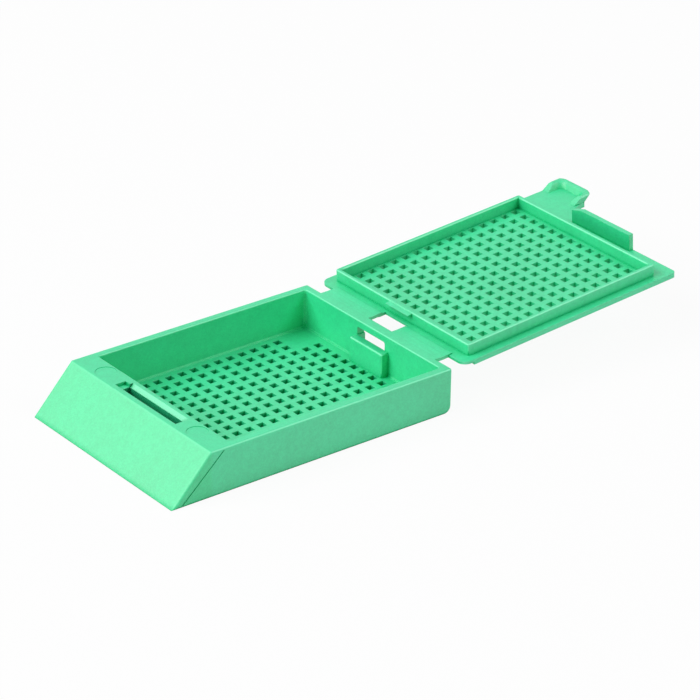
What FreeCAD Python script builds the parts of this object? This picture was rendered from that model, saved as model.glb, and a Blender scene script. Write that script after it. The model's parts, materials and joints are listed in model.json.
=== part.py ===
import FreeCAD, Part
import os
import re
import Sketcher

# Tissue cassette: an open perforated tray and a perforated lid, moulded as one and joined
# by a thin strip that folds. Millimetres. The origin is the middle of the tray's underside,
# +Z up, +X towards the lid. The lid is shown folded right back, a little above flat.

SIZES = {
    # tray
    "base_length": 40.6,
    "base_width": 28.5,
    "base_height": 5.9,
    "side_wall": 1.1,
    "back_wall": 1.1,
    "front_wall": 1.1,
    "floor_thickness": 0.72,
    "outer_radius": 0.3,
    "heel_radius": 1.0,
    "pit_corner_radius": 0.4,
    "foot_radius": 0.3,
    "mouth_radius": 0.2,
    # slanted writing panel, with the ledge behind it
    "panel_run": 5.47,
    "panel_thickness": 1.0,
    "ledge_run": 3.2,
    "ledge_thickness": 1.0,
    "groove_top_setback": 1.9,
    "groove_foot_setback": 1.0,
    "groove_width": 0.22,
    "groove_depth": 0.07,
    "pin_mark_diameter": 2.6,
    "pin_mark_depth": 0.05,
    "pin_mark_inset": 5.0,
    # slot that takes the lid's latch
    "slot_length": 1.46,
    "slot_left": 5.0,
    "slot_right": 6.3,
    "slot_lead": 0.45,
    "step_width": 0.9,
    "step_depth": 0.4,
    # window in the back wall, over a boss that carries its sill
    "window_width": 5.4,
    "window_height": 1.07,
    "window_round": 0.3,
    "lintel_height": 0.93,
    "boss_wall": 1.1,
    "boss_cheek": 0.8,
    "boss_overlap": 0.2,
    "boss_round": 0.25,
    # square holes, the tray's and the lid's one over the other when the lid is shut
    "hole_side": 0.95,
    "hole_pitch": 1.8,
    "hole_margin": 0.05,
    "first_hole": 3.76,
    "pad_margin": 0.1,
    # strip that folds
    "strip_width": 22.4,
    "strip_thickness": 0.42,
    "strip_opening": 4.6,
    "opening_start": 0.27,
    "opening_end": 2.07,
    "strip_root": 0.5,
    "fold_gap": 0.9,
    "fold_rise": 0.05,
    "lid_tilt": 4.4,
    # lid plate and the rim that drops into the tray
    "plate_start": 1.0,
    "plate_drop": 0.15,
    "plate_thickness": 0.7,
    "lead_thickness": 0.35,
    "plate_inset": 0.2,
    "plate_near_radius": 1.2,
    "plate_far_radius": 0.5,
    "rim_height": 1.53,
    "rim_wall": 0.55,
    "rim_side_gap": 0.2,
    "rim_back_gap": 0.6,
    "rim_front_gap": 0.43,
    "rim_corner_radius": 0.3,
    "rim_edge": 0.12,
    # barb on the rim, for the window
    "barb_reach": 0.6,
    "barb_height": 0.45,
    "barb_side_gap": 0.5,
    # latch for the slot
    "latch_thickness": 0.65,
    "latch_height": 2.25,
    "latch_back_gap": 0.4,
    "latch_end_gap": 0.2,
    "latch_cut_width": 1.8,
    "latch_cut_height": 0.55,
    "hook_reach": 0.3,
    "hook_height": 0.7,
    # thumb tab with its raised lip
    "tab_length": 5.7,
    "tab_width": 6.2,
    "tab_root": 1.2,
    "tab_corner_radius": 1.7,
    "tab_flare_radius": 2.3,
    "lip_height": 0.9,
    "lip_wall": 0.65,
    "lip_length": 3.4,
    "lip_ramp": 1.4,
    "lip_flare": 0.8,
    "lip_edge": 0.2,
}

# Places that several features share, as formulas in the sizes above.
# In the tray, x runs back from the front edge.
TRAY_SIDE = "(base_width / 2)"
PIT_FRONT = "(panel_run + ledge_run)"
PIT_BACK = "(base_length - back_wall)"
PIT_SIDE = f"({TRAY_SIDE} - side_wall)"
SLOT_BACK = f"({PIT_FRONT} - front_wall)"
SLOT_FRONT = f"({SLOT_BACK} - slot_length)"
SILL = "(base_height - lintel_height - window_height)"
BOSS_FRONT = f"({PIT_BACK} - boss_wall)"
FOLD = "(base_length + fold_gap)"
# In the lid, x runs out from the fold and z = 0 is the fold's own height.
STRIP_TOP = "(-fold_rise)"
PLATE_TOP = f"({STRIP_TOP} - plate_drop)"
PLATE_BOTTOM = f"({PLATE_TOP} - plate_thickness)"
LIP_TOP = f"({PLATE_TOP} + lip_height)"
PLATE_SIDE = f"({TRAY_SIDE} - plate_inset)"
PLATE_END = f"({FOLD} - {SLOT_BACK} + latch_back_gap + latch_thickness)"
RIM_NEAR = "(fold_gap + back_wall + rim_back_gap)"
RIM_FAR = f"({FOLD} - {PIT_FRONT} - rim_front_gap)"
RIM_SIDE = f"({PIT_SIDE} - rim_side_gap)"
RIM_TOP = f"({PLATE_TOP} + rim_height)"
TAB_END = f"({PLATE_END} + tab_length)"
TAB_INNER = f"({PLATE_SIDE} - tab_width)"
LIP_START = f"({TAB_END} - lip_length)"
# The holes fill the space inside the lid's rim, with an even number of rows about the middle.
HOLE_REACH = "(hole_side / 2 + hole_margin)"
HOLE_COLUMNS = f"(floor(({RIM_FAR} - rim_wall - {HOLE_REACH} - first_hole) / hole_pitch) + 1)"
HALF_ROWS = f"(floor(({RIM_SIDE} - rim_wall - {HOLE_REACH}) / hole_pitch + 0.5))"
FIRST_ROW = f"(({HALF_ROWS} - 0.5) * hole_pitch)"

NEAR = 0.0005


# ---- sheet and formulas ----

def make_sheet(doc):
    sheet = doc.addObject("Spreadsheet::Sheet", "sizes")
    for row, (name, size) in enumerate(SIZES.items(), start=1):
        sheet.set(f"A{row}", name)
        sheet.set(f"B{row}", str(size))
        sheet.setAlias(f"B{row}", name)
    doc.recompute()


def in_sheet(formula):
    # Each size's name in a formula becomes a reference to its cell.
    return re.sub(r"[a-z_]+", lambda w: f"sizes.{w[0]}" if w[0] in SIZES else w[0], formula)


def bind(thing, prop, formula):
    thing.setExpression(prop, in_sheet(formula))


def value_of(thing, formula):
    result = thing.evalExpression(in_sheet(formula))
    return float(getattr(result, "Value", result))


# ---- sketches ----

def origin_part(body, role):
    return next(part for part in body.Origin.OriginFeatures if part.Role == role)


def new_sketch(body, name, plane, height=None):
    sketch = body.newObject("Sketcher::SketchObject", name)
    sketch.AttachmentSupport = [(origin_part(body, plane), "")]
    sketch.MapMode = "FlatFace"
    if height:
        bind(sketch, "AttachmentOffset.Base.z", height)
    return sketch


def fix_point(sketch, shape, corner, place):
    # Dimensions a point of the sketch from the sketch's origin.
    for kind, formula in zip(("DistanceX", "DistanceY"), place):
        distance = value_of(sketch, formula)
        number = sketch.addConstraint(Sketcher.Constraint(kind, -1, 1, shape, corner, distance))
        bind(sketch, f"Constraints[{number}]", formula)


def draw_outline(sketch, corners):
    first = sketch.GeometryCount
    count = len(corners)
    points = [FreeCAD.Vector(value_of(sketch, x), value_of(sketch, y), 0) for x, y in corners]
    for spot in range(count):
        sketch.addGeometry(Part.LineSegment(points[spot], points[(spot + 1) % count]))
    for spot in range(count):
        after = first + (spot + 1) % count
        sketch.addConstraint(Sketcher.Constraint("Coincident", first + spot, 2, after, 1))
        fix_point(sketch, first + spot, 1, corners[spot])


def draw_box(sketch, x_low, x_high, y_low, y_high):
    draw_outline(sketch, [(x_low, y_low), (x_high, y_low), (x_high, y_high), (x_low, y_high)])


def draw_circle(sketch, x, y, diameter):
    middle = FreeCAD.Vector(value_of(sketch, x), value_of(sketch, y), 0)
    size = value_of(sketch, diameter)
    circle = sketch.addGeometry(Part.Circle(middle, FreeCAD.Vector(0, 0, 1), size / 2))
    fix_point(sketch, circle, 3, (x, y))
    number = sketch.addConstraint(Sketcher.Constraint("Diameter", circle, size))
    bind(sketch, f"Constraints[{number}]", diameter)


# ---- features ----

def new_body(doc, label):
    body = doc.addObject("PartDesign::Body", label)
    body.Label = label
    return body


def volume_of(body):
    return 0 if body.Shape.isNull() else body.Shape.Volume


def settle(body, feature, before, grows):
    # Recomputes a feature, makes it the body's tip, and checks that it added or cut material.
    body.Tip = feature
    body.Document.recompute()
    after = feature.Shape.Volume
    if "Up-to-date" not in feature.State or feature.Shape.isNull():
        raise RuntimeError(f"{feature.Name} failed: {feature.State}")
    if grows is not None and (after > before) != grows:
        raise RuntimeError(f"{feature.Name} changed the volume from {before} to {after}")
    return feature


def extrude(body, kind, sketch, name, length, flip, both_ways):
    before = volume_of(body)
    feature = body.newObject(f"PartDesign::{kind}", name)
    feature.Profile = (sketch, [""])
    feature.SideType = "Symmetric" if both_ways else "One side"
    feature.Reversed = flip
    bind(feature, "Length", length)
    return settle(body, feature, before, grows=kind == "Pad")


def pad(body, sketch, name, length, flip=False, both_ways=False):
    return extrude(body, "Pad", sketch, name, length, flip, both_ways)


def pocket(body, sketch, name, length, flip=False, both_ways=False):
    return extrude(body, "Pocket", sketch, name, length, flip, both_ways)


def mirror(body, feature, name, grows):
    before = volume_of(body)
    mirrored = body.newObject("PartDesign::Mirrored", name)
    mirrored.Originals = [feature]
    mirrored.MirrorPlane = (origin_part(body, "XZ_Plane"), [""])
    return settle(body, mirrored, before, grows)


def lies_in(edge, place):
    # Whether an edge lies wholly within a place: a value or a (low, high) pair for each axis.
    first, last = edge.ParameterRange
    points = [edge.valueAt(first + (last - first) * share) for share in (0.0, 0.5, 1.0)]
    for axis, (low, high) in place.items():
        if any(not low - NEAR < getattr(point, axis) < high + NEAR for point in points):
            return False
    return True


def edges_in(feature, places):
    limits = []
    for place in places:
        pairs = {axis: span if isinstance(span, tuple) else (span, span) for axis, span in place.items()}
        limits.append({a: [value_of(feature, end) for end in span] for a, span in pairs.items()})
    names = []
    for number, edge in enumerate(feature.Shape.Edges, start=1):
        if any(lies_in(edge, place) for place in limits):
            names.append(f"Edge{number}")
    return names


def blend(body, kind, name, size, *places):
    carrier = body.Tip
    edges = edges_in(carrier, places)
    if not edges:
        raise RuntimeError(f"{name} has no edges to work on")
    feature = body.newObject(f"PartDesign::{kind}", name)
    feature.Base = (carrier, edges)
    bind(feature, "Radius" if kind == "Fillet" else "Size", size)
    return settle(body, feature, carrier.Shape.Volume, grows=None)


def make_holes(body, name, first_x, plane_height, depth, backwards):
    # One square hole, repeated along x and across y.
    sketch = new_sketch(body, f"{name}_square", "XY_Plane", plane_height)
    half = "hole_side / 2"
    low_y = f"-{FIRST_ROW} - {half}"
    draw_box(sketch, f"{first_x} - {half}", f"{first_x} + {half}", low_y, f"{low_y} + hole_side")
    hole = pocket(body, sketch, f"{name}_first", depth, flip=True)
    before = volume_of(body)
    pattern = body.newObject("PartDesign::LinearPattern", name)
    pattern.Originals = [hole]
    pattern.Direction = (origin_part(body, "X_Axis"), [""])
    pattern.Direction2 = (origin_part(body, "Y_Axis"), [""])
    pattern.Reversed = backwards
    for suffix, count in (("", HOLE_COLUMNS), ("2", f"2 * {HALF_ROWS}")):
        bind(pattern, f"Length{suffix}", f"({count} - 1) * hole_pitch")
        bind(pattern, f"Occurrences{suffix}", count)
    return settle(body, pattern, before, grows=False)


# ---- tray ----

def base_block(body):
    profile = new_sketch(body, "block_profile", "XZ_Plane")
    draw_outline(profile, [
        ("0", "0"),
        ("base_length", "0"),
        ("base_length", "base_height"),
        ("panel_run", "base_height"),
    ])
    pad(body, profile, "block", "base_width", both_ways=True)
    blend(body, "Fillet", "heel", "heel_radius", {"x": "base_length", "z": "0"})
    blend(
        body, "Fillet", "outer_rounds", "min(outer_radius; side_wall * 0.45)",
        {"y": TRAY_SIDE},
        {"y": f"-{TRAY_SIDE}"},
        {"x": "base_length", "z": "base_height"},
        {"x": "panel_run", "z": "base_height"},
    )


def base_pit(body):
    sides = (f"-{PIT_SIDE}", PIT_SIDE)
    inside = {"x": (PIT_FRONT, PIT_BACK), "y": sides}
    mouth = new_sketch(body, "pit_outline", "XY_Plane", "base_height")
    draw_box(mouth, PIT_FRONT, PIT_BACK, *sides)
    pocket(body, mouth, "pit", "base_height - floor_thickness")
    corners = [{"x": x, "y": y, "z": ("floor_thickness", "base_height")}
               for x in (PIT_FRONT, PIT_BACK) for y in sides]
    blend(body, "Fillet", "pit_corners", "pit_corner_radius", *corners)
    foot = "min(foot_radius; pit_corner_radius * 0.9)"
    blend(body, "Fillet", "pit_foot", foot, {"z": "floor_thickness", **inside})
    blend(body, "Fillet", "pit_mouth", "mouth_radius", {"z": "base_height", **inside})


def base_panel_hollow(body):
    # The panel and ledge are a shell, open below, with the panel's thickness square to its slope.
    back_off = "panel_thickness * sqrt(panel_run ^ 2 + base_height ^ 2) / base_height"
    ceiling = "(base_height - ledge_thickness)"
    profile = new_sketch(body, "hollow_profile", "XZ_Plane")
    draw_outline(profile, [
        (back_off, "0"),
        (SLOT_BACK, "0"),
        (SLOT_BACK, ceiling),
        (f"{back_off} + {ceiling} * panel_run / base_height", ceiling),
    ])
    pocket(body, profile, "panel_hollow", f"2 * {PIT_SIDE}", both_ways=True)


def base_slot(body):
    opening = new_sketch(body, "slot_outline", "XY_Plane", "base_height")
    draw_box(opening, SLOT_FRONT, SLOT_BACK, "-slot_right", "slot_left")
    pocket(body, opening, "slot", "ledge_thickness * 1.5")
    lead = {"x": SLOT_BACK, "z": "base_height", "y": ("-slot_right", "slot_left")}
    blend(body, "Chamfer", "slot_lead_in", "min(slot_lead; front_wall * 0.6)", lead)
    step = new_sketch(body, "step_outline", "XY_Plane", "base_height")
    draw_box(step, SLOT_FRONT, SLOT_BACK, "slot_left", "slot_left + step_width")
    pocket(body, step, "slot_step", "step_depth")


def base_panel_marks(body):
    # A fine groove behind the panel on each side wall, and two ejector marks on the ledge.
    slope = "panel_run / base_height"
    top = "(base_height - outer_radius)"
    foot_x = f"(outer_radius * {slope} + groove_foot_setback)"
    top_x = f"({top} * {slope} + groove_top_setback)"
    line = new_sketch(body, "groove_line", "XZ_Plane", TRAY_SIDE)
    draw_outline(line, [
        (foot_x, "outer_radius"),
        (f"{foot_x} + groove_width", "outer_radius"),
        (f"{top_x} + groove_width", top),
        (top_x, top),
    ])
    groove = pocket(body, line, "side_groove", "groove_depth")
    mirror(body, groove, "other_side_groove", grows=False)
    marks = new_sketch(body, "pin_mark_circles", "XY_Plane", "base_height")
    for side in ("-", ""):
        place = f"{side}({TRAY_SIDE} - pin_mark_inset)"
        draw_circle(marks, "panel_run + ledge_run / 2", place, "pin_mark_diameter")
    pocket(body, marks, "pin_marks", "pin_mark_depth")


def base_window(body):
    # The boss starts level with one jamb and runs past the other. Outside, the wall is cut
    # away behind it, from under the window to just short of that first jamb.
    half = "(window_width / 2)"
    boss_end = f"(-{half} - boss_cheek)"
    boss = new_sketch(body, "boss_outline", "XY_Plane")
    draw_box(boss, BOSS_FRONT, f"{PIT_BACK} + back_wall / 2", boss_end, half)
    pad(body, boss, "boss", SILL)
    upright = {"z": ("floor_thickness", SILL)}
    blend(
        body, "Fillet", "boss_rounds", "min(boss_round; boss_cheek * 0.4)",
        {"x": BOSS_FRONT, "z": SILL},
        {"x": BOSS_FRONT, "y": boss_end, **upright},
        {"x": (BOSS_FRONT, PIT_BACK), "y": boss_end, "z": SILL},
    )
    relief = new_sketch(body, "relief_outline", "XY_Plane")
    draw_box(relief, PIT_BACK, "base_length + back_wall", f"-{half}", f"{half} - boss_overlap")
    pocket(body, relief, "window_relief", f"{SILL} + window_height", flip=True)
    window = new_sketch(body, "window_outline", "XY_Plane", SILL)
    draw_box(window, PIT_BACK, "base_length + back_wall", f"-{half}", half)
    pocket(body, window, "window", "window_height", flip=True)
    head = {"x": (PIT_BACK, "base_length"), "z": f"{SILL} + window_height"}
    sides = [{"y": f"{side}{half}", **head} for side in ("-", "")]
    blend(body, "Fillet", "window_head", "window_round", *sides)


def base_hole_pads(body):
    # The floor is left solid under the ejector pins, over four holes in each corner.
    inner = "(hole_pitch / 2)"
    far = f"({HOLE_COLUMNS} - 1) * hole_pitch"
    pads = new_sketch(body, "pad_circles", "XY_Plane")
    size = "sqrt(2) * (hole_pitch + hole_side) + 2 * pad_margin"
    for side in ("-", ""):
        across = f"{side}({FIRST_ROW} - {inner})"
        draw_circle(pads, f"{FOLD} - first_hole - {inner}", across, size)
        draw_circle(pads, f"{FOLD} - first_hole - {far} + {inner}", across, size)
    pad(body, pads, "hole_pads", "floor_thickness")


def base_strip(body):
    leaf = new_sketch(body, "tray_leaf_outline", "XY_Plane", "base_height")
    draw_box(leaf, "base_length - strip_root", FOLD, "-strip_width / 2", "strip_width / 2")
    pad(body, leaf, "tray_leaf", "strip_thickness", flip=True)
    opening = new_sketch(body, "tray_opening_outline", "XY_Plane", "base_height")
    start = "base_length + opening_start"
    draw_box(opening, start, f"{FOLD} + fold_gap", "-strip_opening / 2", "strip_opening / 2")
    pocket(body, opening, "tray_opening", "strip_thickness")


def make_base(doc):
    body = new_body(doc, "base")
    bind(body, "Placement.Base.x", "-base_length / 2")
    base_block(body)
    base_pit(body)
    base_panel_hollow(body)
    base_slot(body)
    base_panel_marks(body)
    base_window(body)
    base_strip(body)
    make_holes(body, "floor_holes", f"({FOLD} - first_hole)", None, "floor_thickness", True)
    base_hole_pads(body)
    return body


# ---- lid ----

def lid_plate(body):
    plate = new_sketch(body, "plate_outline", "XY_Plane", PLATE_TOP)
    draw_box(plate, "plate_start", PLATE_END, f"-{PLATE_SIDE}", PLATE_SIDE)
    pad(body, plate, "plate", "plate_thickness", flip=True)
    upright = {"z": (PLATE_BOTTOM, PLATE_TOP)}
    near = [{"x": "plate_start", "y": f"{side}{PLATE_SIDE}", **upright} for side in ("-", "")]
    blend(body, "Fillet", "plate_near_corners", "plate_near_radius", *near)
    far = {"x": PLATE_END, "y": f"-{PLATE_SIDE}", **upright}
    blend(body, "Fillet", "plate_far_corner", "plate_far_radius", far)
    # Between its near edge and the rim the plate is thinner.
    lead = new_sketch(body, "lead_outline", "XY_Plane", PLATE_BOTTOM)
    draw_box(lead, "plate_start - fold_gap", RIM_NEAR, f"-{TRAY_SIDE}", TRAY_SIDE)
    pocket(body, lead, "lead", "plate_thickness - lead_thickness", flip=True)


def lip_bevel(body, name, side, inwards):
    # A cut under one side of the lip that starts at nothing and grows towards the tip.
    sections = []
    for end, place, share in (("start", LIP_START, "0.02"), ("end", TAB_END, "1")):
        section = new_sketch(body, f"{name}_{end}", "YZ_Plane", place)
        foot = f"{side} {inwards} {share} * lip_flare"
        top = f"{PLATE_BOTTOM} + {share} * (lip_height + plate_thickness)"
        draw_outline(section, [(side, PLATE_BOTTOM), (foot, PLATE_BOTTOM), (side, top)])
        sections.append(section)
    before = volume_of(body)
    bevel = body.newObject("PartDesign::SubtractiveLoft", name)
    bevel.Profile = (sections[0], [""])
    bevel.Sections = [(sections[1], [""])]
    bevel.Ruled = True
    settle(body, bevel, before, grows=False)


def lid_tab(body):
    # A flat tongue with a raised lip round its tip and the far part of its two sides. The lip
    # leans outwards, and its two ends ramp down to the tongue.
    tongue = new_sketch(body, "tab_outline", "XY_Plane", PLATE_TOP)
    draw_box(tongue, f"{PLATE_END} - tab_root", TAB_END, TAB_INNER, PLATE_SIDE)
    pad(body, tongue, "tab", "plate_thickness", flip=True)
    flare = "min(tab_flare_radius; tab_length - lip_length)"
    inner_corner = {"x": PLATE_END, "y": TAB_INNER, "z": (PLATE_BOTTOM, PLATE_TOP)}
    blend(body, "Fillet", "tab_flare", flare, inner_corner)
    block = new_sketch(body, "lip_outline", "XY_Plane", PLATE_TOP)
    draw_box(block, LIP_START, TAB_END, TAB_INNER, PLATE_SIDE)
    pad(body, block, "lip_block", "lip_height")

    lip_bevel(body, "inner_bevel", TAB_INNER, "+")
    lip_bevel(body, "outer_bevel", PLATE_SIDE, "-")
    tip = new_sketch(body, "tip_bevel_profile", "XZ_Plane")
    foot = f"{TAB_END} - lip_flare"
    draw_outline(tip, [(foot, PLATE_BOTTOM), (TAB_END, PLATE_BOTTOM), (TAB_END, LIP_TOP)])
    pocket(body, tip, "tip_bevel", "base_width", both_ways=True)
    corner = "min(tab_corner_radius; tab_width * 0.45)"
    leaning = {"x": (foot, TAB_END), "z": (PLATE_BOTTOM, LIP_TOP)}
    tips = [{"y": (TAB_INNER, f"{TAB_INNER} + lip_flare"), **leaning},
            {"y": (f"{PLATE_SIDE} - lip_flare", PLATE_SIDE), **leaning}]
    blend(body, "Fillet", "tab_corners", corner, *tips)

    well = new_sketch(body, "lip_well_outline", "XY_Plane", LIP_TOP)
    sides = (f"{TAB_INNER} + lip_wall", f"{PLATE_SIDE} - lip_wall")
    draw_box(well, f"{LIP_START} - 2 * lip_flare", f"{TAB_END} - lip_wall", *sides)
    cut = pocket(body, well, "lip_well", "lip_height")
    bind(cut, "TaperAngle", "-atan(lip_flare / (lip_height + plate_thickness))")
    settle(body, cut, volume_of(body), grows=None)
    inner = f"({TAB_END} - lip_wall)"
    leaning = {"x": (f"{inner} - lip_flare", inner), "z": (PLATE_TOP, LIP_TOP)}
    insides = [{"y": (sides[0], f"{sides[0]} + lip_flare"), **leaning},
               {"y": (f"{sides[1]} - lip_flare", sides[1]), **leaning}]
    blend(body, "Fillet", "lip_well_corners", f"max({corner} - lip_wall; lip_edge)", *insides)
    reach = {"x": (LIP_START, TAB_END), "y": (TAB_INNER, PLATE_SIDE)}
    blend(body, "Chamfer", "lip_edges", "min(lip_edge; lip_wall * 0.4)", {"z": LIP_TOP, **reach})
    ramp = new_sketch(body, "lip_ramp_profile", "XZ_Plane")
    draw_outline(ramp, [(LIP_START, PLATE_TOP), (f"{LIP_START} + lip_ramp", LIP_TOP), (LIP_START, LIP_TOP)])
    pocket(body, ramp, "lip_ramps", "base_width", both_ways=True)


def lid_rim(body):
    outline = new_sketch(body, "rim_outline", "XY_Plane", PLATE_TOP)
    draw_box(outline, RIM_NEAR, RIM_FAR, f"-{RIM_SIDE}", RIM_SIDE)
    pad(body, outline, "rim_block", "rim_height")
    upright = {"z": (PLATE_TOP, RIM_TOP)}
    corners = [{"x": x, "y": f"{side}{RIM_SIDE}", **upright}
               for x in (RIM_NEAR, RIM_FAR) for side in ("-", "")]
    blend(body, "Fillet", "rim_corners", "rim_corner_radius", *corners)
    well = new_sketch(body, "rim_well_outline", "XY_Plane", RIM_TOP)
    side = f"({RIM_SIDE} - rim_wall)"
    draw_box(well, f"{RIM_NEAR} + rim_wall", f"{RIM_FAR} - rim_wall", f"-{side}", side)
    pocket(body, well, "rim_well", "rim_height")
    reach = {"x": (RIM_NEAR, RIM_FAR), "y": (f"-{RIM_SIDE}", RIM_SIDE)}
    blend(body, "Chamfer", "rim_edges", "min(rim_edge; rim_wall * 0.4)", {"z": RIM_TOP, **reach})


def lid_strip(body):
    leaf = new_sketch(body, "lid_leaf_outline", "XY_Plane", STRIP_TOP)
    draw_box(leaf, "0", "plate_start + strip_root", "-strip_width / 2", "strip_width / 2")
    pad(body, leaf, "lid_leaf", "strip_thickness", flip=True)
    opening = new_sketch(body, "lid_opening_outline", "XY_Plane", STRIP_TOP)
    draw_box(opening, "-fold_gap", "opening_end", "-strip_opening / 2", "strip_opening / 2")
    pocket(body, opening, "lid_opening", "plate_drop + plate_thickness")


def lid_barb(body):
    # A wedge on the near rim, level on top and sloping back to the rim below its tip.
    profile = new_sketch(body, "barb_profile", "XZ_Plane")
    tip = f"{RIM_NEAR} - barb_reach"
    top = f"({RIM_TOP} - rim_edge)"
    root = f"{RIM_NEAR} + rim_wall / 2"
    draw_outline(profile, [
        (root, f"{top} - barb_height"),
        (RIM_NEAR, f"{top} - barb_height"),
        (tip, f"{top} - barb_height / 2"),
        (tip, f"{top} - barb_height / 4"),
        (RIM_NEAR, top),
        (root, top),
    ])
    pad(body, profile, "barb", "window_width - 2 * barb_side_gap", both_ways=True)


def lid_latch(body):
    # An upright rib along the plate's far edge, one top corner cut, with a hook facing outwards.
    left = "(slot_left - latch_end_gap)"
    right = "(slot_right - latch_end_gap)"
    top = f"({PLATE_TOP} + latch_height)"
    sunk = f"({PLATE_TOP} - plate_thickness / 2)"
    profile = new_sketch(body, "latch_profile", "YZ_Plane", PLATE_END)
    draw_outline(profile, [
        (f"-{right}", sunk),
        (left, sunk),
        (left, f"{top} - latch_cut_height"),
        (f"{left} - latch_cut_width", top),
        (f"-{right}", top),
    ])
    pad(body, profile, "latch", "latch_thickness", flip=True)
    hook = new_sketch(body, "hook_profile", "XZ_Plane")
    draw_outline(hook, [
        (f"{PLATE_END} - latch_thickness / 2", f"{top} - hook_height"),
        (PLATE_END, f"{top} - hook_height"),
        (f"{PLATE_END} + hook_reach", f"{top} - hook_height / 2"),
        (PLATE_END, top),
        (f"{PLATE_END} - latch_thickness / 2", top),
    ])
    width = f"2 * ({left} - latch_cut_width)"
    pad(body, hook, "hook", width, both_ways=True)


def make_lid(doc):
    body = new_body(doc, "lid")
    body.Placement.Rotation = FreeCAD.Rotation(FreeCAD.Vector(0, 1, 0), -1)
    bind(body, "Placement.Rotation.Angle", "-lid_tilt")
    bind(body, "Placement.Base.x", f"{FOLD} - base_length / 2")
    bind(body, "Placement.Base.z", "base_height + fold_rise")
    lid_plate(body)
    lid_tab(body)
    lid_rim(body)
    lid_strip(body)
    lid_barb(body)
    lid_latch(body)
    make_holes(body, "lid_holes", "first_hole", PLATE_BOTTOM, "plate_thickness", False)
    return body


# ---- whole part ----

def main():
    doc = FreeCAD.newDocument("tissue_cassette")
    make_sheet(doc)
    bodies = [make_base(doc), make_lid(doc)]
    doc.recompute()
    failed = [thing.Name for thing in doc.Objects if {"Invalid", "Error"} & set(thing.State)]
    if failed:
        raise RuntimeError(f"these objects failed: {failed}")
    os.makedirs("parts", exist_ok=True)
    for body in bodies:
        shape = body.Shape
        if shape.isNull() or not shape.isValid() or len(shape.Solids) != 1:
            raise RuntimeError(f"{body.Label} isn't one valid solid")
        shape.exportStep(f"parts/{body.Label}.step")
        print(f"{body.Label}: {shape.Volume:.1f} mm3, {len(shape.Faces)} faces, box {shape.BoundBox}")


main()
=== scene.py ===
import json
import math

import bmesh
import bpy
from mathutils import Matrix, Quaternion, Vector


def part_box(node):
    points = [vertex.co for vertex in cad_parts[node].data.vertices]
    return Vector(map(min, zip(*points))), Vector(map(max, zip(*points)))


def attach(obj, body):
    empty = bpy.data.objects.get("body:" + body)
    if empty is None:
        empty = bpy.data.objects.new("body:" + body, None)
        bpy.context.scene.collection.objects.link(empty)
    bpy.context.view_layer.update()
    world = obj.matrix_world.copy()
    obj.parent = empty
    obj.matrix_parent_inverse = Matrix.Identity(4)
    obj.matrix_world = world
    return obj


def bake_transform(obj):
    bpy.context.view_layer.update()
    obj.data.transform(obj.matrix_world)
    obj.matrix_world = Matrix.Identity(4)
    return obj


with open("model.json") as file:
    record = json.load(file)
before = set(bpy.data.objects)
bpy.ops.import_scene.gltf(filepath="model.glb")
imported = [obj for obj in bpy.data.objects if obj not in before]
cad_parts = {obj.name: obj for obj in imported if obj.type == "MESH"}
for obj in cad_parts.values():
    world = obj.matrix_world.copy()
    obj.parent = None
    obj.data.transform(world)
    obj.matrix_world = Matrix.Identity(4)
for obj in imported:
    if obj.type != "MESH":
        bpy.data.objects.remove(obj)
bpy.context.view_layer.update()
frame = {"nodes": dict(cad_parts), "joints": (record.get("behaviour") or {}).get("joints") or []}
print("tray and lid loaded:", ", ".join(sorted(frame["nodes"])))

mm = 0.001
tray, lid = frame["nodes"]["base"], frame["nodes"]["lid"]
trayLow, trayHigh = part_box("base")
hinge = next(joint for joint in frame["joints"] if joint["name"] == "lid_hinge")
fold = Vector(hinge["pos_m"])
openTilt = math.radians(4.4)     # how far the lid leans up where it lies open


# Shader sockets that can be added, subtracted and multiplied, and one way to add a node.

class Wire:
    def __init__(self, tree, socket):
        self.tree = tree
        self.socket = socket

    def math(self, operation, first, second):
        return self.tree.node("ShaderNodeMath", {"operation": operation}, {
            0: first, 1: second})["Value"]

    def __add__(self, other):
        return self.math("ADD", self, other)

    def __radd__(self, other):
        return self.math("ADD", other, self)

    def __sub__(self, other):
        return self.math("SUBTRACT", self, other)

    def __rsub__(self, other):
        return self.math("SUBTRACT", other, self)

    def __mul__(self, other):
        return self.math("MULTIPLY", self, other)

    def __rmul__(self, other):
        return self.math("MULTIPLY", other, self)

    def larger(self, other):
        return self.math("MAXIMUM", self, other)


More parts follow.
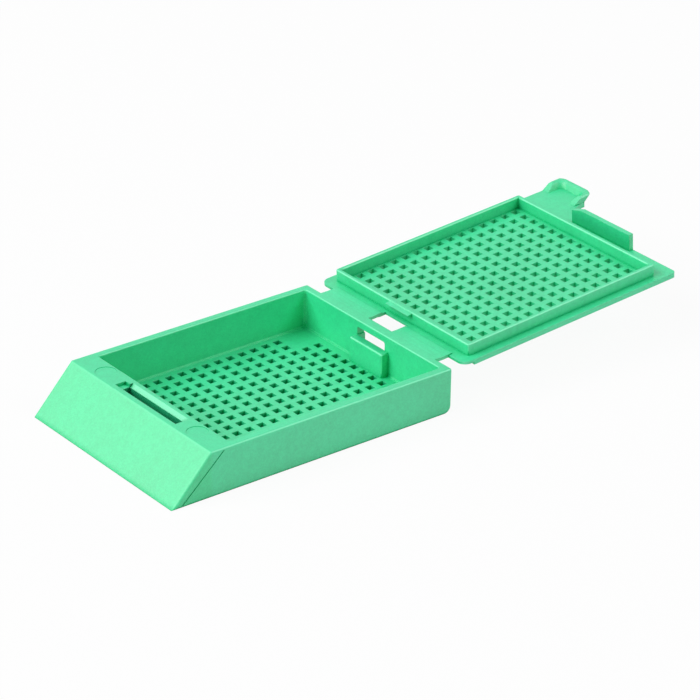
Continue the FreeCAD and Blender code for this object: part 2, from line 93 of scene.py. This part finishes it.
class NodeTree:
    def __init__(self, owner):
        owner.use_nodes = True
        self.tree = owner.node_tree
        self.tree.nodes.clear()

    def node(self, kind, settings=None, sockets=None):
        made = self.tree.nodes.new(kind)
        for name, value in (settings or {}).items():
            if name == "stops":   # a new ramp has two of them
                for stop, (place, colour) in zip(made.color_ramp.elements, value):
                    stop.position = place
                    stop.color = (*colour, 1)
            else:
                setattr(made, name, value)
        for name, value in (sockets or {}).items():
            socket = made.inputs[name]
            if not socket.enabled:   # a Mix node has a socket of this name for each kind of data
                socket = next(s for s in made.inputs if s.name == name and s.enabled)
            if isinstance(value, Wire):
                self.tree.links.new(value.socket, socket)
            else:
                socket.default_value = value
        return {s.name: Wire(self, s) for s in made.outputs if s.enabled}

    def ramp(self, value, low, high):
        # 0 at low and 1 at high, with a soft start and end; low may be the larger of the two
        return self.node("ShaderNodeMapRange", {"interpolation_type": "SMOOTHSTEP"}, {
            "Value": value, "From Min": low, "From Max": high})["Result"]

    def blend(self, share, first, second, how="MIX"):
        return self.node("ShaderNodeMix", {"data_type": "RGBA", "blend_type": how}, {
            "Factor": share, "A": first, "B": (*second, 1)})["Result"]

    def vector(self, operation, *values):
        return self.node("ShaderNodeVectorMath", {"operation": operation},
                         dict(enumerate(values)))["Vector"]

    def axes(self, vector):
        return self.node("ShaderNodeSeparateXYZ", None, {"Vector": vector})

    def seen(self):
        # 1 for what the camera sees, straight or by way of gloss or clear plastic
        light = self.node("ShaderNodeLightPath")
        mirrored = light["Is Glossy Ray"].larger(light["Is Transmission Ray"])
        return light["Is Camera Ray"].larger(mirrored)


def newMaterial(name):
    material = bpy.data.materials.new(name)
    return material, NodeTree(material)


# The moulded green plastic. Each range says where an effect starts and where it is full.
# Openness is how much of the light reaches a point: 1 in the open, 0 deep in a hole.

# the crease, corner, hollow and slot colours are painted shade, and the edge colour is a painted
# highlight
plastic = {
    "deepColour": (0.018, 0.655, 0.285),
    "paleColour": (0.034, 0.800, 0.375),
    "panelTint": (1.0, 0.97, 0.88),
    "creaseShadeColour": (0.002, 0.500, 0.160),   # painted shade where little light gets in
    "hollowColour": (0.001, 0.280, 0.090),   # painted shade farther down in corners and behind the rim
    "slotShadeColour": (0.000, 0.040, 0.010),     # painted shade in the long slot behind the slanted panel
    "edgeHighlightColour": (0.130, 0.930, 0.500),     # painted highlight: thin outer edges are painted paler
    "deepShare": 0.36,           # how high the patterns are where the deep colour ends
    "paleShare": 0.64,           # and where the pale one starts
    # size, detail and roughness of each pattern
    "cloud": (9 * mm, 3.0, 0.5),             # slow change of colour over the moulding
    "mottle": (0.8 * mm, 2.0, 0.5),          # blotches
    "speck": (0.22 * mm, 3.0, 0.6),          # fine speckle of the spark-eroded mould
    "grain": (0.16 * mm, 2.0, 0.6),          # bumps of the walls
    "coarseGrain": (0.352 * mm, 2.0, 0.6),   # larger bumps of the writing panel
    "mottleShare": 0.25,         # the clouds have what these two leave
    "speckShare": 0.45,
    "drift": {"base": (0.31, 0.12, 0.05), "lid": (0.74, 0.58, 0.21)},
    "ridgeIn": 5.47 * mm,        # from the tray's front to the slanted panel's top
    "panelFade": 0.3 * mm,
    "tabLength": 5.7 * mm,
    "tabFade": 0.5 * mm,
    "creaseReach": 0.8 * mm,     # how far away a wall still casts painted shade into a crease
    "creaseRange": (0.72, 0.35),             # of openness
    "creaseShadeDepth": 0.9,
    "hollowReach": 3.5 * mm,
    "hollowRange": (0.66, 0.25),             # of openness
    "hollowShadeDepth": 0.5,
    "slotRange": (0.72, 0.45),               # of openness
    "slotShadeDepth": 0.95,
    "slotAlong": (1.4 * mm, 3.15 * mm),      # behind the slanted panel's top
    "slotAcross": (-6.4 * mm, 5.0 * mm),
    "slotFade": (0.1 * mm, 0.2 * mm),        # at the low and the high end of both
    "leanRange": (0.04, 0.2),    # of how far the face of a rounded edge leans
    "edgeRange": (0.75, 0.95),   # of openness, from an inner corner's to an outer edge's
    "edgeHighlightShare": 0.7,
    "cornerShadeDepth": 0.8,
    "roundRange": (0.62, 0.85),  # of openness, where the edges start to look round
    "edgeRadius": 0.10 * mm,     # every moulded edge is slightly round
    "shadeSamples": 6,
    "edgeSamples": 4,
    "grainHeight": 0.015 * mm,
    "panelGrain": 1.4,           # extra height of the writing panel's coarser grain
    "roughness": 0.46,
    "grainRoughness": 0.14,      # how much the grain, the clouds and the panel change it
    "cloudRoughness": 0.08,
    "panelRoughness": 0.08,
    "dullRange": (0.0, 0.9),     # where creases and holes stop gleaming
    "indexOfRefraction": 1.6,    # acetal
    "sheenLevel": 1.0,           # the fine mould texture throws a soft pale sheen
    "subsurface": 0.12,
    "scatterDepth": 0.6 * mm,
    "scatterRadius": (0.5, 1.0, 0.7),
}


def greenPlastic(name, drift, panelEnd=None, tabStart=None):
    # drift moves the patterns, so that two pieces don't repeat each other
    material, tree = newMaterial(name)
    coordinates = tree.node("ShaderNodeTexCoord")
    place = tree.axes(coordinates["Object"])
    moved = tree.vector("ADD", coordinates["Object"], drift)

    def pattern(kind):
        size, detail, roughness = plastic[kind]
        return tree.node("ShaderNodeTexNoise", {"noise_dimensions": "3D"}, {
            "Vector": moved, "Scale": 1 / size, "Detail": detail, "Roughness": roughness})["Fac"]

    def openness(reach):
        return tree.node("ShaderNodeAmbientOcclusion", {"samples": plastic["shadeSamples"]}, {
            "Distance": reach})["AO"]

    cloud, grain = pattern("cloud"), pattern("grain")
    mottleShare, speckShare = plastic["mottleShare"], plastic["speckShare"]
    share = (cloud * (1 - mottleShare - speckShare)
             + pattern("mottle") * mottleShare + pattern("speck") * speckShare)
    colour = tree.node("ShaderNodeValToRGB", {"stops": [
        (plastic["deepShare"], plastic["deepColour"]),
        (plastic["paleShare"], plastic["paleColour"])]}, {"Fac": share})["Color"]
    roughness = (plastic["roughness"] + (grain - 0.5) * plastic["grainRoughness"]
                 + (cloud - 0.5) * plastic["cloudRoughness"])
    height = grain
    if panelEnd is not None:
        # the slanted writing panel has a coarser, duller grain than the walls
        fade = plastic["panelFade"]
        onPanel = tree.ramp(place["X"], panelEnd + fade, panelEnd - fade)
        colour = tree.blend(onPanel, colour, plastic["panelTint"], "MULTIPLY")
        height = grain + pattern("coarseGrain") * onPanel * plastic["panelGrain"]
        roughness = roughness + onPanel * plastic["panelRoughness"]

    near, far = openness(plastic["creaseReach"]), openness(plastic["hollowReach"])
    # rounded edges are where the normal leans away from all three of the moulding's axes
    facing = tree.axes(tree.vector("ABSOLUTE", coordinates["Normal"]))
    upright = facing["X"].larger(facing["Y"]).larger(facing["Z"])
    leaning = tree.ramp(1 - upright, *plastic["leanRange"])
    inOpen = tree.ramp(near, *plastic["edgeRange"])
    edgeHighlight = leaning * inOpen
    inCorner = leaning * (1 - inOpen)
    if panelEnd is not None:
        edgeHighlight = edgeHighlight * (1 - onPanel)
    if tabStart is not None:
        edgeHighlight = edgeHighlight * tree.ramp(place["X"], tabStart + plastic["tabFade"], tabStart)

    # painted highlight along the rounded outer edges
    colour = tree.blend(edgeHighlight * plastic["edgeHighlightShare"], colour, plastic["edgeHighlightColour"])
    # painted shade: creases and inner corners get a darker green where nearby walls would block
    # the light
    creaseShade = tree.ramp(near, *plastic["creaseRange"]) * plastic["creaseShadeDepth"]
    # painted shade: deep hollows, far from the open, get a darker green still
    hollow = tree.ramp(far, *plastic["hollowRange"]) * plastic["hollowShadeDepth"]
    creaseShadeShare = creaseShade + inCorner * plastic["cornerShadeDepth"]
    colour = tree.blend(creaseShadeShare, colour, plastic["creaseShadeColour"])
    colour = tree.blend(hollow, colour, plastic["hollowColour"])
    matte = creaseShade + hollow + inCorner
    if panelEnd is not None:
        # the long slot behind the panel is deep, and gets painted shade much darker than the
        # small holes
        slotShade = tree.ramp(far, *plastic["slotRange"])
        fadeLow, fadeHigh = plastic["slotFade"]
        slotAlong = [panelEnd + end for end in plastic["slotAlong"]]
        for axis, (low, high) in (("X", slotAlong), ("Y", plastic["slotAcross"])):
            slotShade = slotShade * tree.ramp(place[axis], low - fadeLow, low)
            slotShade = slotShade * tree.ramp(place[axis], high + fadeHigh, high)
        colour = tree.blend(slotShade * plastic["slotShadeDepth"], colour, plastic["slotShadeColour"])
        matte = matte + slotShade

    # only the outer edges look rounded; the inner corners keep crisp normals under their painted
    # shade
    soft = tree.node("ShaderNodeBevel", {"samples": plastic["edgeSamples"]}, {
        "Radius": plastic["edgeRadius"]})["Normal"]
    rounded = tree.node("ShaderNodeMix", {"data_type": "VECTOR"}, {
        "Factor": tree.ramp(near, *plastic["roundRange"]),
        "A": tree.node("ShaderNodeNewGeometry")["Normal"], "B": soft})["Result"]
    normal = tree.node("ShaderNodeBump", None, {
        "Strength": 1.0, "Distance": plastic["grainHeight"], "Height": height,
        "Normal": rounded})["Normal"]
    surface = tree.node("ShaderNodeBsdfPrincipled", {"subsurface_method": "RANDOM_WALK"}, {
        "Base Color": colour, "Roughness": roughness, "IOR": plastic["indexOfRefraction"],
        "Specular IOR Level": plastic["sheenLevel"],
        "Subsurface Weight": plastic["subsurface"],
        "Subsurface Radius": plastic["scatterRadius"],
        "Subsurface Scale": plastic["scatterDepth"], "Normal": normal})["BSDF"]
    # the inner corners, the holes and the slot don't gleam
    dull = tree.node("ShaderNodeBsdfPrincipled", None, {
        "Base Color": colour, "Roughness": 1.0, "Specular IOR Level": 0.0,
        "Normal": normal})["BSDF"]
    mixed = tree.node("ShaderNodeMixShader", None, {
        "Fac": tree.ramp(matte, *plastic["dullRange"]), 1: surface, 2: dull})["Shader"]
    tree.node("ShaderNodeOutputMaterial", None, {"Surface": mixed})
    return material


for node, panelEnd, tabStart in (
        (tray, trayLow.x + plastic["ridgeIn"], None),
        (lid, None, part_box("lid")[1].x - plastic["tabLength"])):
    drift = plastic["drift"][node.name]
    node.data.materials.clear()
    node.data.materials.append(greenPlastic(node.name + "Plastic", drift, panelEnd, tabStart))
print("plastic laid on the tray and the lid")


# What the added pieces share.

def aboutFold(x, y, z, turn):
    # x runs out from the fold line and z up; turn lifts the point about that line
    return fold + Vector((x * math.cos(turn) - z * math.sin(turn), y,
                          x * math.sin(turn) + z * math.cos(turn)))


def joinRings(mesh, first, second):
    for i in range(len(first)):
        j = (i + 1) % len(first)
        mesh.faces.new((first[i], first[j], second[j], second[i]))


def addObject(name, data):
    made = bpy.data.objects.new(name, data)
    bpy.context.scene.collection.objects.link(made)
    return made


def addPiece(name, mesh, material):
    bmesh.ops.recalc_face_normals(mesh, faces=mesh.faces)
    data = bpy.data.meshes.new(name)
    mesh.to_mesh(data)
    mesh.free()
    data.materials.append(material)
    return addObject(name, data)


# The folding strip: one skin over the two leaves, so that it bends without a break.

foldStrip = {
    "leaves": ((-11.2 * mm, -2.3 * mm), (2.3 * mm, 11.2 * mm)),
    "thickness": 0.42 * mm,
    "proud": 0.015 * mm,         # how far the skin stands over the leaves
    "run": 0.62 * mm,            # each way from the fold
    "bend": 0.42 * mm,           # half the length that bends
    "turnReach": 0.2 * mm,       # half the length that turns up to the open lid's tilt
    "dive": 0.12 * mm,           # the length over which the ends sink into the leaves
    "cornerRadius": 0.04 * mm,
    "cornerSteps": 3,
    "stations": 32,
}


def easeInOut(share):
    share = min(1.0, max(0.0, share))
    return share * share * (3 - 2 * share)


def roundedSection(yLow, yHigh, zLow, zHigh):
    radius, steps = foldStrip["cornerRadius"], foldStrip["cornerSteps"]
    low, high = (yLow + radius, zLow + radius), (yHigh - radius, zHigh - radius)
    points = []
    for quarter, (y, z) in enumerate((low, (high[0], low[1]), high, (low[0], high[1]))):
        for step in range(steps + 1):
            angle = math.pi / 2 * (2 + quarter + step / steps)
            points.append((y + radius * math.cos(angle), z + radius * math.sin(angle)))
    return points


def stripSkin(name, material):
    proud, run, count = foldStrip["proud"], foldStrip["run"], foldStrip["stations"]
    mesh = bmesh.new()
    for yLow, yHigh in foldStrip["leaves"]:
        rings = []
        for station in range(count + 1):
            along = run * (2 * station / count - 1)
            turn = openTilt * easeInOut(0.5 + 0.5 * along / foldStrip["turnReach"])
            # the ends dive into the leaves, so no step shows
            side = proud * (2 * easeInOut((run - abs(along)) / foldStrip["dive"]) - 1)
            upper = trayHigh.z - fold.z + side
            lower = upper - foldStrip["thickness"] - 2 * side
            section = roundedSection(yLow - side, yHigh + side, lower, upper)
            rings.append([mesh.verts.new(aboutFold(along, y, z, turn)) for y, z in section])
        for first, second in zip(rings, rings[1:]):
            joinRings(mesh, first, second)
        mesh.faces.new(list(reversed(rings[0])))
        mesh.faces.new(rings[-1])
    skin = addPiece(name, mesh, material)
    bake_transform(skin)


stripSkin("foldSkin", greenPlastic("foldPlastic", plastic["drift"]["base"]))
print("folding strip covered")


# The wide inner curve between the lid's plate and its thumb tab.

tabCurve = {
    "radius": 4.1 * mm,
    "plateEnd": 34.98 * mm,      # out from the fold, along the lid
    "tabSide": 7.85 * mm,
    "top": -0.2 * mm,
    "thickness": 0.7 * mm,
    "inset": 0.004 * mm,         # keeps its faces just under the plate's
    "overlap": 0.3 * mm,         # how far it runs into the plate and the tab
    "stations": 24,
}


def tabFillet(name, material):
    radius, end, side = tabCurve["radius"], tabCurve["plateEnd"], tabCurve["tabSide"]
    overlap, inset, count = tabCurve["overlap"], tabCurve["inset"], tabCurve["stations"]
    outline = [(end - overlap, side + overlap), (end - overlap, side - radius)]
    for station in range(count + 1):
        angle = math.pi / 2 * station / count
        outline.append((end + radius * (1 - math.cos(angle)),
                        side - radius * (1 - math.sin(angle))))
    outline.append((end + radius, side + overlap))
    mesh = bmesh.new()
    upper = tabCurve["top"] - inset
    lower = tabCurve["top"] - tabCurve["thickness"] + inset
    rings = [[mesh.verts.new(aboutFold(x, y, z, openTilt)) for x, y in outline]
             for z in (lower, upper)]
    joinRings(mesh, *rings)
    for ring in rings:
        mesh.faces.new(ring)
    bmesh.ops.triangulate(mesh, faces=[face for face in mesh.faces if len(face.verts) > 4])
    piece = addPiece(name, mesh, material)
    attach(piece, "lid")


tabFillet("tabFillet", lid.data.materials[0])
print("thumb tab's inner curve added")


# Floor, backdrop and lamps.

studio = {
    "floorSize": 3.0,
    "floorGap": 0.01 * mm,       # between the floor and the tray
    "floorColour": (0.86, 0.86, 0.87),
    "underShadeColour": (0.00, 0.25, 0.08),       # painted shade: the floor that the tray covers, seen through its holes
    "underShadeRange": (0.0, -0.8 * mm),          # from the tray's outline outwards
    "floorGlow": 0.94,           # share of the floor seen as plain white, clear of the tray
    "glowRange": (-1.6 * mm, -0.8 * mm),     # from the tray's outline outwards
    "ambient": 0.24,
    "lampAim": (10 * mm, 0, 4 * mm),
    "lamps": {                   # azimuth and elevation as seen from the tray, in degrees
        "leftSoftbox": {
            "azimuth": -120, "elevation": 40, "distance": 0.9, "size": 0.5, "power": 4.6},
        "frontSoftbox": {
            "azimuth": -88, "elevation": 40, "distance": 0.9, "size": 0.4, "power": 2.0},
        "rightSoftbox": {
            "azimuth": 44, "elevation": 42, "distance": 0.9, "size": 0.4, "power": 2.4},
    },
}


def around(azimuth, elevation):
    a, e = math.radians(azimuth), math.radians(elevation)
    return Vector((math.sin(a) * math.cos(e), -math.cos(a) * math.cos(e), math.sin(e)))


def makeFloor():
    half = studio["floorSize"] / 2
    data = bpy.data.meshes.new("floor")
    data.from_pydata(
        [(-half, -half, 0), (half, -half, 0), (half, half, 0), (-half, half, 0)], [],
        [(0, 1, 2, 3)])
    floor = addObject("floor", data)
    floor.location.z = trayLow.z - studio["floorGap"]
    material, tree = newMaterial("paleFloor")
    middle, halfSize = (trayLow + trayHigh) / 2, (trayHigh - trayLow) / 2
    place = tree.node("ShaderNodeTexCoord")["Object"]
    offset = tree.vector("SUBTRACT", place, (middle.x, middle.y, 0))
    past = tree.axes(tree.vector(
        "SUBTRACT", tree.vector("ABSOLUTE", offset), (halfSize.x, halfSize.y, 0)))
    outside = past["X"].larger(past["Y"])
    clear = tree.ramp(outside, *studio["glowRange"])
    shadedUnderTray = tree.ramp(outside, *studio["underShadeRange"])
    # painted shade on the floor under the tray
    colour = tree.blend(shadedUnderTray, (*studio["floorColour"], 1), studio["underShadeColour"])
    paint = tree.node("ShaderNodeBsdfDiffuse", None, {"Color": colour})["BSDF"]
    glow = tree.node("ShaderNodeEmission", None, {
        "Color": (1, 1, 1, 1), "Strength": 1.0})["Emission"]
    lit = tree.node("ShaderNodeMixShader", None, {
        "Fac": tree.seen() * clear * studio["floorGlow"], 1: paint, 2: glow})["Shader"]
    # from below the floor is clear, so the tray's underside can be looked at
    sided = tree.node("ShaderNodeMixShader", None, {
        "Fac": tree.node("ShaderNodeNewGeometry")["Backfacing"], 1: lit,
        2: tree.node("ShaderNodeBsdfTransparent")["BSDF"]})["Shader"]
    tree.node("ShaderNodeOutputMaterial", None, {"Surface": sided})
    data.materials.append(material)


def makeWorld():
    world = bpy.data.worlds.new("studioWorld")
    bpy.context.scene.world = world
    tree = NodeTree(world)
    strength = tree.seen() * (1 - studio["ambient"]) + studio["ambient"]
    sky = tree.node("ShaderNodeBackground", None, {
        "Color": (1, 1, 1, 1), "Strength": strength})["Background"]
    tree.node("ShaderNodeOutputWorld", None, {"Surface": sky})


def makeLamps():
    for name, lamp in studio["lamps"].items():
        data = bpy.data.lights.new(name, "AREA")
        data.shape = "SQUARE"
        data.size = lamp["size"]
        data.energy = lamp["power"]
        box = addObject(name, data)
        away = around(lamp["azimuth"], lamp["elevation"])
        box.location = Vector(studio["lampAim"]) + away * lamp["distance"]
        box.rotation_euler = away.to_track_quat("Z", "Y").to_euler()


makeFloor()
makeWorld()
makeLamps()
print("studio lit")


# The camera: a long lens, turned a little about its line of sight.

camera = {
    "aim": (6.607 * mm, -11.971 * mm, 11.5 * mm),
    "azimuth": -38.175,          # in degrees, like the elevation and the roll
    "elevation": 26.797,
    "distance": 406.67 * mm,
    "roll": 0.894,
    "lens": 180.36,
    "sensorWidth": 36,
    "clip": (0.01, 10),
}


def makeCamera():
    data = bpy.data.cameras.new("camera")
    data.lens = camera["lens"]
    data.sensor_width = camera["sensorWidth"]
    data.clip_start, data.clip_end = camera["clip"]
    holder = addObject("camera", data)
    away = around(camera["azimuth"], camera["elevation"])
    roll = Quaternion((0, 0, 1), math.radians(camera["roll"]))
    holder.location = Vector(camera["aim"]) + away * camera["distance"]
    holder.rotation_mode = "QUATERNION"
    holder.rotation_quaternion = away.to_track_quat("Z", "Y") @ roll
    bpy.context.scene.camera = holder


makeCamera()
bpy.context.scene.view_settings.view_transform = "Standard"
print("camera set")
